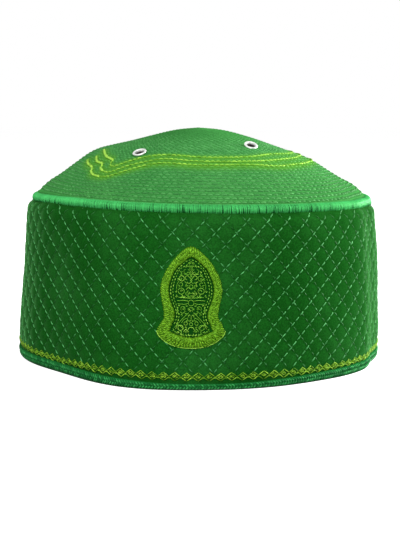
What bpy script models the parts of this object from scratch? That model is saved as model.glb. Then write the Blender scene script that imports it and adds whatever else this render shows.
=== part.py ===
"""A quilted kufi: an oval cap with a stiff side band and a domed crown.

The band is a quilted cloth wall. Its foot is bound with tape, and its top edge is sewn to the crown
under a thick satin-stitched welt. A raised embroidered badge sits on the front of the band, and four
small metal eyelets air the crown. The cap stands on its bound edge as it would on a shelf.

Units are metres. +Z is up, the front of the cap faces -Y, and the origin is the middle of the cap's
foot, on the surface that it stands on. Azimuth is measured from +X, so the front is at -90 degrees.
"""

import math

import bmesh
import bpy
from mathutils import Vector

MM = 0.001

# Driving sizes of the cloth and the seams
SEW_GAP = 0.3 * MM          # clearance between pieces that are sewn together
WALL_THICK = 2.2 * MM       # quilted side band: two cloths and a stiff wadding
CROWN_THICK = 2.0 * MM      # crown: two cloths run together by close stitching
RIM_HEIGHT = 78.4 * MM      # middle of the welt, above the foot
RIM_TILT = 1.5 * MM         # the welt is this much higher at the left and lower at the right
WELT_WIDE = 4.4 * MM        # the welt's section, across the rim
WELT_TALL = 4.8 * MM        # and up the wall
TAPE_THICK = 0.9 * MM       # binding tape
TAPE_TALL = 3.3 * MM        # how far the tape comes up each side of the band
AROUND = 72                 # steps around the cap
WELT_SIDES = 10             # steps around the welt's section

# Half-lengths of the cap's outer face at each height, in mm: the wall leans in as it rises
HEIGHT, LEFT, RIGHT, FRONT, BACK = range(5)
SECTIONS = (
    (0.0, 89.8, 89.6, 97.1, 98.7),
    (6.0, 90.4, 90.2, 97.7, 99.3),
    (16.0, 89.8, 90.1, 97.3, 98.9),
    (28.0, 88.6, 89.8, 96.7, 98.2),
    (41.0, 87.4, 89.5, 96.0, 97.4),
    (54.0, 86.5, 89.0, 95.3, 96.6),
    (65.0, 85.6, 88.2, 94.6, 95.8),
    (71.0, 85.1, 87.6, 94.0, 95.1),
    (74.0, 84.2, 87.1, 93.1, 94.2),
    (75.7, 82.1, 85.5, 91.1, 92.2),
)
RIM_SECTION = (RIM_HEIGHT / MM, 82.5, 85.9, 91.5, 92.6)   # the same columns, on the welt

# Soft places of the wall: azimuth, spread, and how far they stand out at foot and rim, in mm
WALL_SWELLS = (
    (-140.0, 20.0, -5.5, -2.4),   # the flattened front left
    (-108.0, 16.0, 2.0, 0.8),     # the swell beside it
    (-74.0, 15.0, 0.7, 0.4),
    (-38.0, 12.0, 1.9, 0.3),      # blunt corner of the foot
    (-31.0, 5.0, 0.7, 0.9),       # soft upright fold above it
    (-22.0, 5.0, -0.7, -0.7),
)

# The crown from its middle to its sewn edge: share of the way out, and mm above that edge
SHARE, RISE = range(2)
CROWN_PROFILE = (
    (0.00, 32.8),
    (0.15, 31.6),
    (0.30, 28.8),
    (0.44, 25.5),
    (0.56, 22.6),
    (0.64, 20.5),
    (0.70, 18.2),
    (0.78, 14.0),
    (0.86, 9.6),
    (0.93, 5.1),
    (1.00, 0.0),
)
CROWN_EDGE_INSET = 4.5 * MM    # sewn edge of the crown, inside the welt's outermost face
CROWN_EDGE_LIFT = 1.25 * MM    # and above the welt's middle

# Soft places of the crown: azimuth and its spread, share of the way out and its spread, lift in mm
CROWN_SWELLS = (
    (180.0, 35.0, 0.66, 0.19, 1.2),
    (0.0, 42.0, 0.62, 0.24, -1.3),
    (-138.0, 20.0, 0.82, 0.13, -1.4),
)

# Eyelets: name, azimuth and share of the way out, then the sizes of the metal
EYELETS = (
    ("eyelet_front_left", -124.5, 0.625),
    ("eyelet_front_right", -50.0, 0.475),
    ("eyelet_back_left", 124.5, 0.625),
    ("eyelet_back_right", 50.0, 0.475),
)
EYELET_HOLE = 1.8 * MM         # radius of the hole
EYELET_BARREL = 2.15 * MM      # outer radius of the tube through the cloth
EYELET_FLANGE = 3.5 * MM       # radius of the rolled front
EYELET_FLANGE_TALL = 0.8 * MM
EYELET_BACK = 3.2 * MM         # radius of the washer inside
EYELET_BACK_TALL = 0.4 * MM
EYELET_SIDES = 16
EYELET_SEAT_GAP = 0.36 * MM    # the crown is slightly curved under the flat flange

# Badge: a raised embroidered border in the outline of an arch on a flared heel
BADGE_MIDDLE = -3.0 * MM       # sideways from the middle of the cap's front
BADGE_FOOT = 18.6 * MM         # lowest point of the badge, up the wall
BADGE_THICK = 0.9 * MM
BADGE_STRIP = 4.6 * MM         # the flat border is cut into upright strips this wide to bend round
BADGE_STRIPS = 4               # strips on each side of its middle
UP, OUTER, INNER = range(3)
BADGE_ROWS = (                 # height in mm, and the half-widths of the border's two edges there
    (44.4, 0.0, None),
    (43.2, 2.7, None),
    (41.0, 5.2, None),
    (39.7, None, 0.0),
    (37.8, 8.2, 2.9),
    (34.5, 10.4, 6.5),
    (31.3, 12.2, 8.3),
    (28.1, 13.1, 9.4),
    (24.9, 13.5, 9.8),
    (21.6, 13.0, 9.3),
    (18.4, 12.4, 8.1),
    (15.2, 11.8, 7.1),
    (12.6, 12.0, 7.3),
    (10.3, 13.5, 8.2),
    (7.4, 14.9, 9.4),
    (6.0, None, 6.0),
    (5.2, 13.8, None),
    (4.7, None, 0.0),
    (2.6, 10.7, None),
    (1.0, 7.2, None),
    (0.0, 0.0, None),
)

# Looks of the plain solids
DARK_GREEN = (0.010, 0.095, 0.012)
LEAF_GREEN = (0.060, 0.310, 0.070)
BRIGHT_GREEN = (0.050, 0.380, 0.095)
TAPE_GREEN = (0.014, 0.150, 0.028)
LIME = (0.130, 0.290, 0.012)
WHITE_METAL = (0.85, 0.85, 0.84)


def along(table, column, at):
    """Smooth value of a table's column at a place given in its first column."""
    rows = sorted((row[0], row[column]) for row in table)
    places = [place for place, _ in rows]
    values = [value for _, value in rows]
    last = len(rows) - 1
    at = min(max(at, places[0]), places[last])
    low = max(i for i in range(last) if places[i] <= at)

    def slope(i):
        before, after = max(i - 1, 0), min(i + 1, last)
        return (values[after] - values[before]) / (places[after] - places[before])

    span = places[low + 1] - places[low]
    t = (at - places[low]) / span
    return (
        (2 * t**3 - 3 * t**2 + 1) * values[low]
        + (t**3 - 2 * t**2 + t) * span * slope(low)
        + (3 * t**2 - 2 * t**3) * values[low + 1]
        + (t**3 - t**2) * span * slope(low + 1)
    )


def bump(distance, spread):
    """A soft hump of height 1 and the given half-spread."""
    return math.exp(-((distance / spread) ** 2))


def turn_between(azimuth, other_deg):
    """Smallest turn in degrees from a table's azimuth to this one in radians."""
    return (math.degrees(azimuth) - other_deg + 180.0) % 360.0 - 180.0


def oval(azimuth, left, right, front, back, inset, swell):
    """A point of a horizontal outline, from its four half-lengths in mm."""
    half_x = (right if math.cos(azimuth) > 0 else left) * MM - inset + swell
    half_y = (back if math.sin(azimuth) > 0 else front) * MM - inset + swell
    return half_x * math.cos(azimuth), half_y * math.sin(azimuth)


def wall_swell(azimuth, height):
    """How far the wall's soft places push it out, in metres."""
    share = height / RIM_HEIGHT
    push = sum(
        bump(turn_between(azimuth, place), spread) * (foot + (rim - foot) * share)
        for place, spread, foot, rim in WALL_SWELLS
    )
    return push * MM


def rim_lift(azimuth):
    """How much higher the rim is at this azimuth than in the middle of the cap's front."""
    return -RIM_TILT * math.cos(azimuth)


def on_wall(azimuth, height, inset):
    """A point of the side band: height above the foot, and distance inside the outer face."""
    halves = [along(SECTIONS, side, height / MM) for side in (LEFT, RIGHT, FRONT, BACK)]
    x, y = oval(azimuth, *halves, inset, wall_swell(azimuth, height))
    return Vector((x, y, height * (1 + rim_lift(azimuth) / RIM_HEIGHT)))


def on_rim(azimuth, height, inset):
    """A point near the welt, whose section keeps its shape all the way round."""
    x, y = oval(azimuth, *RIM_SECTION[LEFT:], inset, wall_swell(azimuth, RIM_HEIGHT))
    return Vector((x, y, height + rim_lift(azimuth)))


def on_crown(azimuth, share):
    """A point of the crown's outer face: share of the way from its middle to its sewn edge."""
    x, y = oval(
        azimuth, *RIM_SECTION[LEFT:], CROWN_EDGE_INSET, wall_swell(azimuth, RIM_HEIGHT)
    )
    swell = sum(
        bump(turn_between(azimuth, place), spread) * bump(share - ring, ring_spread) * lift
        for place, spread, ring, ring_spread, lift in CROWN_SWELLS
    )
    swell *= min(1.0, 4.0 * share, 6.0 * (1.0 - share))
    rise = (along(CROWN_PROFILE, RISE, share) + swell) * MM
    edge = RIM_HEIGHT + CROWN_EDGE_LIFT
    return Vector((x * share, y * share, edge + rise + rim_lift(azimuth) * share**2))


def material(name, colour, roughness, metallic=0.0):
    """A plain Principled material."""
    made = bpy.data.materials.new(name)
    made.use_nodes = True
    shader = made.node_tree.nodes["Principled BSDF"]
    shader.inputs["Base Color"].default_value = (*colour, 1.0)
    shader.inputs["Roughness"].default_value = roughness
    shader.inputs["Metallic"].default_value = metallic
    made.diffuse_color = (*colour, 1.0)
    return made


def clear_scene():
    for old in list(bpy.data.objects):
        bpy.data.objects.remove(old, do_unlink=True)


def collection(name):
    made = bpy.data.collections.new(name)
    bpy.context.scene.collection.children.link(made)
    return made


def add_object(name, mesh, group, look=None):
    made = bpy.data.objects.new(name, mesh)
    group.objects.link(made)
    if look is not None:
        mesh.materials.clear()
        mesh.materials.append(look)
    return made


def baked(source):
    """The object's evaluated mesh, and the object removed."""
    bpy.context.view_layer.update()
    seen = source.evaluated_get(bpy.context.evaluated_depsgraph_get())
    mesh = bpy.data.meshes.new_from_object(seen)
    mesh.transform(source.matrix_world)
    bpy.data.objects.remove(source, do_unlink=True)
    return mesh


def turned(name, profile, group, closed, steps=AROUND):
    """A mesh turned about Z from (radius, height) points that run down its outer side."""
    mesh = bpy.data.meshes.new(name)
    edges = [(i, i + 1) for i in range(len(profile) - 1)]
    if closed:
        edges.append((len(profile) - 1, 0))
    mesh.from_pydata([(radius, 0.0, height) for radius, height in profile], edges, [])
    made = add_object(name, mesh, group)
    screw = made.modifiers.new("turn", "SCREW")
    screw.angle = math.tau
    screw.steps = steps
    screw.render_steps = steps
    screw.use_merge_vertices = True
    screw.merge_threshold = 0.01 * MM
    screw.use_normal_calculate = False
    return baked(made)


def shaped(mesh, place):
    """Moves each turned point to place(azimuth, radius, height)."""
    for vertex in mesh.vertices:
        x, y, height = vertex.co
        vertex.co = place(math.atan2(y, x), math.hypot(x, y), height)
    mesh.update()
    return mesh


def thicken(piece, thickness):
    """Gives an open surface its wall, to the inside."""
    wall = piece.modifiers.new("thickness", "SOLIDIFY")
    wall.thickness = thickness
    wall.offset = -1.0
    wall.use_even_offset = True


def smooth(mesh, sharp_deg=35.0):
    mesh.shade_smooth()
    mesh.set_sharp_from_angle(angle=math.radians(sharp_deg))


# A turned piece of the wall is drawn on a round cap of this radius, and then fitted to the oval one
ROUND_CAP = 100.0 * MM


def make_band(group, look):
    """The side band: an open wall from inside the binding to just under the welt."""
    tucked = TAPE_THICK + SEW_GAP
    top = RIM_HEIGHT - WELT_TALL / 2 - SEW_GAP
    inset_by_height = (
        (top, 0.0),
        (74.0 * MM, 0.0),
        (71.0 * MM, 0.0),
        (65.0 * MM, 0.0),
        (54.0 * MM, 0.0),
        (41.0 * MM, 0.0),
        (28.0 * MM, 0.0),
        (16.0 * MM, 0.0),
        (8.0 * MM, 0.4 * MM),
        (TAPE_TALL + SEW_GAP, tucked),
        (tucked, tucked),
    )
    profile = [(ROUND_CAP - inset, height) for height, inset in inset_by_height]
    mesh = turned("band", profile, group, closed=False)
    shaped(mesh, lambda azimuth, radius, height: on_wall(azimuth, height, ROUND_CAP - radius))
    smooth(mesh)
    thicken(add_object("band", mesh, group, look), WALL_THICK)


def make_binding(group, look):
    """The tape folded over the band's foot: a U with a flat bottom."""
    corner = 0.5 * MM
    width = 2 * (TAPE_THICK + SEW_GAP) + WALL_THICK
    inner_leg = width - TAPE_THICK
    outline = (
        (TAPE_THICK, TAPE_TALL),
        (0.3 * MM, TAPE_TALL),
        (0.0, TAPE_TALL - corner),
        (0.0, corner),
        (corner, 0.0),
        (width - corner, 0.0),
        (width, corner),
        (width, TAPE_TALL - corner),
        (width - 0.3 * MM, TAPE_TALL),
        (inner_leg, TAPE_TALL),
        (inner_leg, TAPE_THICK),
        (TAPE_THICK, TAPE_THICK),
    )
    profile = [(ROUND_CAP - inset, height) for inset, height in outline]
    mesh = turned("binding", profile, group, closed=True)
    shaped(mesh, lambda azimuth, radius, height: on_wall(azimuth, height, ROUND_CAP - radius))
    smooth(mesh)
    add_object("binding", mesh, group, look)


def make_welt(group, look):
    """The satin-stitched seam that rolls over the join of band and crown."""
    profile = []
    for step in range(WELT_SIDES):
        turn = math.pi / 2 - math.tau * step / WELT_SIDES
        profile.append(
            (
                ROUND_CAP - WELT_WIDE / 2 + math.cos(turn) * WELT_WIDE / 2,
                RIM_HEIGHT + math.sin(turn) * WELT_TALL / 2,
            )
        )
    mesh = turned("welt", profile, group, closed=True)
    shaped(mesh, lambda azimuth, radius, height: on_rim(azimuth, height, ROUND_CAP - radius))
    smooth(mesh, sharp_deg=60.0)
    add_object("welt", mesh, group, look)


def crown_frame(azimuth, share):
    """Where the crown's face is, and which way it faces."""
    step = 0.02
    here = on_crown(azimuth, share)
    outward = on_crown(azimuth, share + step) - on_crown(azimuth, share - step)
    sideways = on_crown(azimuth + step, share) - on_crown(azimuth - step, share)
    return here, outward.cross(sideways).normalized()


def make_crown(group, cutters, look):
    """The domed crown, pierced for the eyelets."""
    profile = [(row[SHARE] * ROUND_CAP, 0.0) for row in CROWN_PROFILE]
    mesh = turned("crown", profile, group, closed=False)
    shaped(mesh, lambda azimuth, radius, height: on_crown(azimuth, radius / ROUND_CAP))
    smooth(mesh)
    crown = add_object("crown", mesh, group, look)
    thicken(crown, CROWN_THICK)
    for name, azimuth_deg, share in EYELETS:
        here, facing = crown_frame(math.radians(azimuth_deg), share)
        bpy.ops.mesh.primitive_cylinder_add(
            vertices=EYELET_SIDES,
            radius=EYELET_BARREL + SEW_GAP,
            depth=4 * CROWN_THICK,
            location=here,
            rotation=facing.to_track_quat("Z", "Y").to_euler(),
        )
        cutter = bpy.context.object
        cutter.name = "cut_" + name
        cutter.hide_render = True
        cutter.display_type = "WIRE"
        for owner in list(cutter.users_collection):
            owner.objects.unlink(cutter)
        cutters.objects.link(cutter)
        hole = crown.modifiers.new(cutter.name, "BOOLEAN")
        hole.operation = "DIFFERENCE"
        hole.object = cutter


def make_eyelets(group, look):
    """Each eyelet is one turned ring: rolled flange, tube through the cloth and washer inside."""
    seat = EYELET_SEAT_GAP
    under = -CROWN_THICK - EYELET_SEAT_GAP
    lip = 0.25 * EYELET_FLANGE_TALL
    profile = (
        ((EYELET_HOLE + EYELET_FLANGE) / 2, seat + EYELET_FLANGE_TALL),
        (EYELET_FLANGE - lip, seat + 0.7 * EYELET_FLANGE_TALL),
        (EYELET_FLANGE, seat + lip),
        (EYELET_FLANGE, seat),
        (EYELET_BARREL, seat),
        (EYELET_BARREL, under),
        (EYELET_BACK, under),
        (EYELET_BACK, under - EYELET_BACK_TALL),
        (EYELET_HOLE, under - EYELET_BACK_TALL),
        (EYELET_HOLE, seat + 0.6 * EYELET_FLANGE_TALL),
    )
    for name, azimuth_deg, share in EYELETS:
        mesh = turned(name, profile, group, closed=True, steps=EYELET_SIDES)
        smooth(mesh)
        here, facing = crown_frame(math.radians(azimuth_deg), share)
        eyelet = add_object(name, mesh, group, look)
        eyelet.location = here
        eyelet.rotation_euler = facing.to_track_quat("Z", "Y").to_euler()


def add_loop(curve, points):
    """A closed smooth outline through the points, as one spline of a flat curve."""
    spline = curve.splines.new("BEZIER")
    spline.bezier_points.add(len(points) - 1)
    for knot, (x, y) in zip(spline.bezier_points, points):
        knot.co = (x, y, 0.0)
        knot.handle_left_type = "AUTO"
        knot.handle_right_type = "AUTO"
    spline.use_cyclic_u = True


def both_sides(column):
    """The badge's edge in a column of its table, mirrored left to right, as (sideways, up) points."""
    half = [(row[column] * MM, row[UP] * MM) for row in BADGE_ROWS if row[column] is not None]
    other = [(-x, up) for x, up in reversed(half) if x > 0]
    return half + other


def make_badge(group, look):
    """The badge's border: a flat outline with a hole, laid over the curved front of the band."""
    curve = bpy.data.curves.new("badge_border", "CURVE")
    curve.dimensions = "2D"
    curve.fill_mode = "BOTH"
    curve.extrude = BADGE_THICK / 2
    curve.resolution_u = 2
    for column in (OUTER, INNER):
        add_loop(curve, both_sides(column))
    flat = bpy.data.objects.new("badge_border", curve)
    group.objects.link(flat)
    mesh = baked(flat)
    closed = bmesh.new()
    closed.from_mesh(mesh)
    bmesh.ops.remove_doubles(closed, verts=closed.verts, dist=0.01 * MM)
    for strip in range(1 - BADGE_STRIPS, BADGE_STRIPS):
        bmesh.ops.bisect_plane(
            closed,
            geom=closed.verts[:] + closed.edges[:] + closed.faces[:],
            plane_co=(BADGE_STRIP * strip, 0.0, 0.0),
            plane_no=(1.0, 0.0, 0.0),
            dist=0.01 * MM,
        )
    closed.to_mesh(mesh)
    closed.free()
    front = math.radians(-90.0)
    for vertex in mesh.vertices:
        sideways, up, out = vertex.co
        height = BADGE_FOOT + up
        left, right = (along(SECTIONS, side, height / MM) * MM for side in (LEFT, RIGHT))
        azimuth = front + (BADGE_MIDDLE + sideways) / ((left + right) / 2)
        stand_off = SEW_GAP + BADGE_THICK / 2 + out
        vertex.co = on_wall(azimuth, height, -stand_off)
    smooth(mesh)
    add_object("badge_border", mesh, group, look)


def main():
    clear_scene()
    kufi = collection("kufi")
    cutters = collection("kufi_cutters")
    make_band(kufi, material("quilted_cloth", DARK_GREEN, 0.55))
    make_crown(kufi, cutters, material("crown_cloth", LEAF_GREEN, 0.6))
    make_welt(kufi, material("satin_stitch", BRIGHT_GREEN, 0.4))
    make_binding(kufi, material("binding_tape", TAPE_GREEN, 0.6))
    make_badge(kufi, material("lime_thread", LIME, 0.45))
    make_eyelets(kufi, material("white_metal", WHITE_METAL, 0.25, metallic=0.8))


main()
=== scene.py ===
# %% [markdown]
# # A quilted kufi, sewn in Blender
# This kufi is a tall, stiff, oval cap. Its side band is quilted in diamonds, its crown is covered with
# rows of running stitch, and a thick satin-stitched welt joins the two. A tape binds the foot, and a
# lime row of little diamonds runs just above it. A lime badge sits at the front.
#
# The solids made in CAD give every piece its size and place. They are loaded first and never moved.
# Each one is then replaced by a sewn piece that lies where the solid lies.

# %% Load the solids
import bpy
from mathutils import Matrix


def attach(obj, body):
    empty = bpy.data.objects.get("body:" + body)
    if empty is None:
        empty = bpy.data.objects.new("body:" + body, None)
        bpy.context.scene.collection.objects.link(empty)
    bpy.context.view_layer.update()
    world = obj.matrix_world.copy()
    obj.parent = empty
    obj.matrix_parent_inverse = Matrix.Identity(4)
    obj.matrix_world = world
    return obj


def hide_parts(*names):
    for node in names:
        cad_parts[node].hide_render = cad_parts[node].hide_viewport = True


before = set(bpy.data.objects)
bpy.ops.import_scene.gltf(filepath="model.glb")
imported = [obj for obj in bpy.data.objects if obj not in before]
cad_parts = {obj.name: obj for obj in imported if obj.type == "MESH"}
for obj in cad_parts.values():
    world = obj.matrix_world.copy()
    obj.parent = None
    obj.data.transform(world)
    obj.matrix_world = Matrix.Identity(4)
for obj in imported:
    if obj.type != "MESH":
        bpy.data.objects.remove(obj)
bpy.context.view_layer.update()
print("solids:", ", ".join(sorted(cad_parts)))

# %% Libraries and the unit
import math

import bmesh
import bpy
import numpy as np

MM = 0.001

# %% [markdown]
# ## The shape of the cap
# A soft cap is not a true ellipse. Its foot is flattened at the front left, it leans in as it rises, and
# its rim is a little lower on the right. One way to get such a form is to push vertices about by hand,
# but then no two pieces would agree. Here the form is written down once, as a few tables, and every
# piece reads it. The tables are the ones that the solids were made from.

# %% Tables of the form
RIM_HEIGHT = 78.4 * MM
RIM_TILT = 1.5 * MM
CROWN_INSET = 4.5 * MM
CROWN_LIFT = 1.25 * MM

# Height, then the half-lengths to the left, right, front and back, in mm
WALL = np.array((
    (0, 89.8, 89.6, 97.1, 98.7),
    (6, 90.4, 90.2, 97.7, 99.3),
    (16, 89.8, 90.1, 97.3, 98.9),
    (28, 88.6, 89.8, 96.7, 98.2),
    (41, 87.4, 89.5, 96, 97.4),
    (54, 86.5, 89, 95.3, 96.6),
    (65, 85.6, 88.2, 94.6, 95.8),
    (71, 85.1, 87.6, 94, 95.1),
    (74, 84.2, 87.1, 93.1, 94.2),
    (75.7, 82.1, 85.5, 91.1, 92.2),
))
RIM = (82.5, 85.9, 91.5, 92.6)

# Azimuth and its spread in degrees, and how far the wall stands out there, foot and rim, in mm
WALL_SWELLS = (
    (-140, 20, -5.5, -2.4),
    (-108, 16, 2, 0.8),
    (-74, 15, 0.7, 0.4),
    (-38, 12, 1.9, 0.3),
    (-31, 5, 0.7, 0.9),
    (-22, 5, -0.7, -0.7),
)

# Share of the way from the crown's middle to its edge, and the rise above that edge, in mm
DOME = np.array((
    (0, 32.8), (0.15, 31.6), (0.30, 28.8), (0.44, 25.5), (0.56, 22.6), (0.64, 20.5),
    (0.70, 18.2), (0.78, 14), (0.86, 9.6), (0.93, 5.1), (1, 0),
))

# Azimuth and its spread, share and its spread, and the lift there, in mm
DOME_SWELLS = (
    (180, 35, 0.66, 0.19, 1.2),
    (0, 42, 0.62, 0.24, -1.3),
    (-138, 20, 0.82, 0.13, -1.4),
)

# At the left and right the crown's edge laps over the welt: how far it reaches out and rises, in mm
EDGE_REACH = (1.4, 1.6)
EDGE_RISE = (0.9, 1.4)
SIDE_SPREAD = 32.0  # degrees


# %% Read a table smoothly
def smooth_row(table, column, at):
    """Smooth values of a column at places given in the first column."""
    places, values = table[:, 0], table[:, column]
    last = len(places) - 1
    before = np.maximum(np.arange(last + 1) - 1, 0)
    after = np.minimum(np.arange(last + 1) + 1, last)
    slope = (values[after] - values[before]) / (places[after] - places[before])
    at = np.clip(at, places[0], places[last])
    low = np.clip(np.searchsorted(places, at, side="right") - 1, 0, last - 1)
    span = places[low + 1] - places[low]
    t = (at - places[low]) / span
    return (
        (2 * t**3 - 3 * t**2 + 1) * values[low]
        + (t**3 - 2 * t**2 + t) * span * slope[low]
        + (3 * t**2 - 2 * t**3) * values[low + 1]
        + (t**3 - t**2) * span * slope[low + 1]
    )


def smooth_line(points, fine):
    """A smooth line through points, read at places counted 0, 1, 2 from point to point."""
    knots = np.column_stack([np.arange(len(points)), np.array(points)])
    return np.stack([smooth_row(knots, 1, fine), smooth_row(knots, 2, fine)], -1)


def gone_along(line):
    """How far along a line each of its points is."""
    return np.concatenate([[0.0], np.cumsum(np.linalg.norm(np.diff(line, axis=0), axis=1))])


def unit(vectors):
    return vectors / np.maximum(np.linalg.norm(vectors, axis=-1, keepdims=True), 1e-12)


def hump(distance, spread):
    return np.exp(-((distance / spread) ** 2))


def away_from(azimuth, place):
    return (np.degrees(azimuth) - place + 180.0) % 360.0 - 180.0


# %% Points of the wall, the rim and the crown
def wall_swell(azimuth, height):
    share = height / RIM_HEIGHT
    return MM * sum(
        hump(away_from(azimuth, place), spread) * (foot + (rim - foot) * share)
        for place, spread, foot, rim in WALL_SWELLS
    )


def oval(azimuth, left, right, front, back, inset, swell):
    half_x = np.where(np.cos(azimuth) > 0, right, left) * MM - inset + swell
    half_y = np.where(np.sin(azimuth) > 0, back, front) * MM - inset + swell
    return half_x * np.cos(azimuth), half_y * np.sin(azimuth)


def rim_lift(azimuth):
    return -RIM_TILT * np.cos(azimuth)


def sides(azimuth, left, right):
    """One value at the cap's left, one at its right, and 0 in front and behind."""
    at_left, at_right = (hump(away_from(azimuth, place), SIDE_SPREAD) for place in (180.0, 0.0))
    return left * at_left + right * at_right


def on_wall(azimuth, height, inset):
    halves = [smooth_row(WALL, side, height / MM) for side in (1, 2, 3, 4)]
    x, y = oval(azimuth, *halves, inset, wall_swell(azimuth, height))
    return np.stack([x, y, height * (1 + rim_lift(azimuth) / RIM_HEIGHT)], -1)


def on_rim(azimuth, height, inset):
    x, y = oval(azimuth, *RIM, inset, wall_swell(azimuth, RIM_HEIGHT))
    return np.stack([x, y, height + rim_lift(azimuth)], -1)


def on_crown(azimuth, share):
    """The crown's face, a share of the way from its middle to its edge."""
    inset = CROWN_INSET - sides(azimuth, *EDGE_REACH) * MM * hump(share - 1.0, 0.07)
    x, y = oval(azimuth, *RIM, inset, wall_swell(azimuth, RIM_HEIGHT))
    swell = sum(
        hump(away_from(azimuth, place), spread) * hump(share - ring, ring_spread) * lift
        for place, spread, ring, ring_spread, lift in DOME_SWELLS
    )
    swell = swell * np.clip(np.minimum(4 * share, 6 * (1 - share)), 0, 1)
    swell = swell + sides(azimuth, *EDGE_RISE) * hump(share - 0.945, 0.055)
    rise = (smooth_row(DOME, 1, share) + swell) * MM
    height = RIM_HEIGHT + CROWN_LIFT + rise + rim_lift(azimuth) * share**2
    return np.stack([x * share, y * share, height], -1)


def crown_facing(azimuth, share):
    """Which way the crown's face looks."""
    share = np.clip(share, 0.01, 0.995)
    step = 0.004
    out = on_crown(azimuth, share + step) - on_crown(azimuth, share - step)
    aside = on_crown(azimuth + step, share) - on_crown(azimuth - step, share)
    return unit(np.cross(out, aside))


print("crown's middle at", on_crown(np.array(0.0), np.array(0.0)).round(4), "m")

# %% [markdown]
# ## Work flat, then bend
# A real band is cut as a long straight strip. It is quilted and embroidered while it lies flat, and only
# then is it sewn into a ring. Modelling can follow the same order. A flat strip is easy to think about:
# x runs along it from the middle of the front, z runs up it, and y goes into the cloth. Bending it round
# is one function, and anything sewn on the flat strip bends with it.
#
# The crown is worked the same way, as a flat disc that is then draped over the dome.

# %% Bend the strip and drape the disc
GIRTH_AT = 40 * MM  # the strip is as long as the way round the wall at this height
walk = np.radians(np.linspace(-300.0, 120.0, 8401))
walked = on_wall(walk, np.full_like(walk, GIRTH_AT), 0.0)
run = gone_along(walked)
run -= np.interp(math.radians(-90.0), walk, run)
STRIP = np.interp(math.radians(90.0), walk, run) - np.interp(math.radians(-270.0), walk, run)
DISC = 86.0 * MM


def bend(points):
    """Flat strip to the cap's wall."""
    return on_wall(np.interp(points[:, 0], run, walk), points[:, 2], points[:, 1])


def bend_to_rim(points):
    """Flat strip to the welt on the rim. At the sides it is pressed flatter and hugs the band."""
    azimuth = np.interp(points[:, 0], run, walk)
    pressed, held = sides(azimuth, 1.0, 0.15), sides(azimuth, 1.0, 1.0)
    above = np.maximum(points[:, 2] - RIM_HEIGHT, 0.0)
    below = np.clip((RIM_HEIGHT - points[:, 2]) / MM, 0.0, 1.0)
    height = points[:, 2] - pressed * (0.45 * above + 0.35 * MM)
    hug = 0.8 * np.clip(points[:, 1], 0.0, 1.6 * MM) + 0.3 * MM  # brings the lower half out to the band
    return on_rim(azimuth, height, points[:, 1] + pressed * 0.4 * above - held * hug * below)


def drape(points):
    """Flat disc to the crown: z is the lift off the crown's face."""
    azimuth = np.arctan2(points[:, 1], points[:, 0])
    share = np.minimum(np.hypot(points[:, 0], points[:, 1]) / DISC, 1.013)
    return on_crown(azimuth, share) + points[:, 2:3] * crown_facing(azimuth, share)


print(f"the strip is {STRIP / MM:.1f} mm long")


# %% Small helpers for every piece
def deselect():
    if bpy.context.object and bpy.context.object.mode != "OBJECT":
        bpy.ops.object.mode_set(mode="OBJECT")
    bpy.ops.object.select_all(action="DESELECT")


def read(items, name, kind=np.int32, each=1):
    """A number, or each of a few numbers, from every item of a mesh."""
    values = np.empty(len(items) * each, dtype=kind)
    items.foreach_get(name, values)
    return values


def corners_of(piece):
    return read(piece.data.vertices, "co", float, 3).reshape(-1, 3)


def set_corners(piece, points):
    piece.data.vertices.foreach_set("co", np.ascontiguousarray(points, dtype=np.float32).ravel())
    piece.data.update()


def pick(piece, kind, wanted):
    """In edit mode, selects only the edges or the faces that pass a test."""
    bpy.ops.mesh.select_all(action="DESELECT")
    shape = bmesh.from_edit_mesh(piece.data)
    for part in shape.faces if kind == "faces" else shape.edges:
        part.select = bool(wanted(part))
    bmesh.update_edit_mesh(piece.data)


def weld(merge):
    """Joins the corners that meet, turns all faces outward and leaves edit mode."""
    bpy.ops.mesh.select_all(action="SELECT")
    bpy.ops.mesh.remove_doubles(threshold=merge)
    bpy.ops.mesh.normals_make_consistent(inside=False)
    bpy.ops.object.mode_set(mode="OBJECT")


def spun(name, profile, steps, merge):
    """A closed piece: a profile, (out, up), is joined up and spun round the upright axis."""
    deselect()
    bpy.ops.mesh.primitive_circle_add(vertices=len(profile))
    piece = bpy.context.object
    piece.name = name
    set_corners(piece, np.stack([profile[:, 0], 0 * profile[:, 0], profile[:, 1]], -1))
    bpy.ops.object.mode_set(mode="EDIT")
    pick(piece, "edges", lambda edge: max(corner.co.x for corner in edge.verts) > 0.01 * MM)
    bpy.ops.mesh.spin(steps=steps, angle=2 * math.pi, center=(0, 0, 0), axis=(0, 0, 1))
    weld(merge)
    return piece


def mark_cloth(piece, across, along):
    """Keeps flat cloth positions as a UV map, so that a weave follows the cloth."""
    layer = piece.data.uv_layers.new(name="cloth")
    corner = read(piece.data.loops, "vertex_index")
    layer.data.foreach_set("uv", np.stack([across[corner], along[corner]], -1).ravel())


def mark(piece, name, values):
    """Keeps one number for each vertex, such as how much painted shade it gets down in the seams."""
    layer = piece.data.attributes.new(name, "FLOAT", "POINT")
    layer.data.foreach_set("value", np.ascontiguousarray(values, dtype=np.float32))


def put_on(piece, look, nodes=()):
    """Last touches: material, smooth shading, its body and the solid it stands for."""
    piece.data.materials.clear()
    piece.data.materials.append(look)
    piece.data.shade_smooth()
    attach(piece, "root")
    if nodes:
        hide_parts(*nodes)
    piece.data.calc_loop_triangles()
    print(f"{piece.name}: {len(piece.data.loop_triangles)} triangles")


# %% [markdown]
# ## One thread, sewn many times
# Everything that is embroidered is made of short threads. A thread is modelled once, as a slim cylinder
# cut across a few times and pinched at its ends. Each stitch is then a copy of it, laid along its own
# little path. All the stitches of one kind are joined in one mesh, so there is no array to keep live.

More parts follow.
